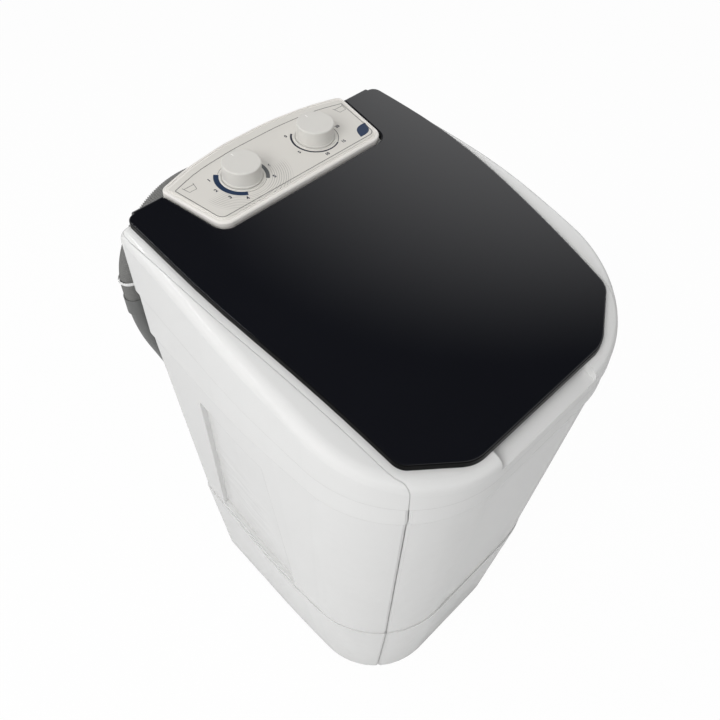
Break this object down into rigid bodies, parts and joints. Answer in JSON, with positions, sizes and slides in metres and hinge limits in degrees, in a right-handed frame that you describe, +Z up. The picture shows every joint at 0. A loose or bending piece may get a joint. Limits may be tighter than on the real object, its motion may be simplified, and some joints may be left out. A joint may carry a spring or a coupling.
{
  "type": "semi-automatic washing machine",
  "caption": "Top-loading semi-automatic washing machine with a domed dark lid, a two-knob console, a tapered white cabinet and a ribbed drain hose.",
  "frame": {"origin": "on the floor, under the middle of the machine's box; the axis of the wash tub stands 29 mm in front of it", "axes": "+Z up, -Y towards the front where the lid is lifted, +X to the right seen from the front"},
  "size_m": [0.5448, 0.6202, 0.9492],
  "materials": {
    "white_plastic": "gloss",
    "black_lid": "gloss",
    "grey_console": "satin",
    "printed_film": "satin",
    "grey_hose": "satin",
    "tub_plastic": "satin",
    "blue_plastic": "satin",
    "black_rubber": "matte",
    "steel": "satin",
    "cast_aluminium": "cast",
    "bronze": "satin",
    "painted_steel": "satin"
  },
  "bodies": {
    "cabinet": {"front_shell": "white_plastic", "left_side_panel": "white_plastic", "right_side_panel": "white_plastic", "back_panel": "painted_steel", "back_panel_screws": "steel", "base_tray": "white_plastic", "feet": "black_rubber", "tub_collar": "white_plastic", "hinge_pins": "steel", "console_body": "grey_console", "console_overlay": "printed_film", "program_switch": "black_rubber", "timer_switch": "black_rubber", "wash_tub": "tub_plastic", "bearing_housing": "cast_aluminium", "upper_bush": "bronze", "lower_bush": "bronze", "shaft_seal": "black_rubber", "housing_bolts": "steel", "drive_belt": "black_rubber", "motor": "painted_steel", "motor_plate": "steel", "motor_screws": "steel", "capacitor": "painted_steel", "capacitor_clip": "steel", "cord_gland": "black_rubber", "drain_elbow": "grey_hose", "drain_outlet": "grey_hose", "drain_pipe": "grey_hose", "hose_cuff": "grey_hose", "drain_hose": "grey_hose", "hose_clip": "white_plastic", "hose_holder": "white_plastic"},
    "lid": {"lid": "black_lid"},
    "program_knob": {"program_knob": "white_plastic"},
    "timer_knob": {"timer_knob": "white_plastic"},
    "pulsator": {"pulsator": "blue_plastic", "pulsator_cap": "tub_plastic", "drive_shaft": "steel", "drive_pulley": "cast_aluminium", "pulley_nut": "steel"},
    "motor_rotor": {"motor_shaft": "steel", "motor_pulley": "cast_aluminium"}
  },
  "joints": [
    {"name": "lid_hinge", "type": "hinge", "parent": "cabinet", "child": "lid", "pos_m": [0, 0.239, 0.9115], "axis": [-1, 0, 0], "range_deg": [0, 105]},
    {"name": "program_turn", "type": "hinge", "parent": "cabinet", "child": "program_knob", "pos_m": [-0.069, 0.198, 0.92019], "axis": [0, -0.0838, 0.9965], "range_deg": [-270, 0]},
    {"name": "timer_turn", "type": "hinge", "parent": "cabinet", "child": "timer_knob", "pos_m": [0.069, 0.198, 0.92019], "axis": [0, -0.0838, 0.9965], "range_deg": [-300, 0]},
    {"name": "pulsator_spin", "type": "hinge", "parent": "cabinet", "child": "pulsator", "pos_m": [0, -0.029, 0.34], "axis": [0, 0, 1], "continuous": true},
    {"name": "motor_spin", "type": "hinge", "parent": "cabinet", "child": "motor_rotor", "pos_m": [0, 0.136, 0.2], "axis": [0, 0, 1], "continuous": true}
  ],
  "couplings": [
    {"joint": "motor_spin", "follows": "pulsator_spin", "ratio": 3.5}
  ]
}
